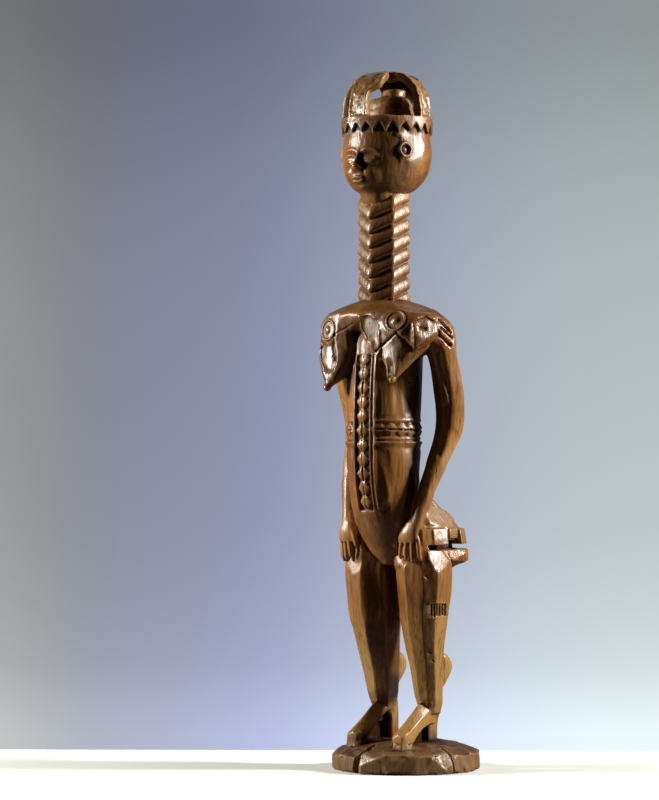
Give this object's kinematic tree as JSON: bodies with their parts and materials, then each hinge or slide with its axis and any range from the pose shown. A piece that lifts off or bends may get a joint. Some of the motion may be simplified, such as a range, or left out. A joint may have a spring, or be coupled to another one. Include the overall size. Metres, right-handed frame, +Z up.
{
  "type": "carved wooden standing figure",
  "caption": "Tall slender figure of a standing woman carved from one length of wood, with a ringed neck, an openwork crown, hands on the thighs, a flared skirt hem and a round base",
  "frame": {"origin": "centre of the flat underside of the base, on the surface the figure stands on", "axes": "+Z is up, the figure faces -Y and its left side is +X"},
  "size_m": [0.1542, 0.1614, 0.7005],
  "materials": {
    "carved_wood": "hand-carved, oiled and worn to a soft gloss, dark in the cuts"
  },
  "bodies": {
    "root": {"carved_figure": "carved_wood"}
  },
  "joints": []
}
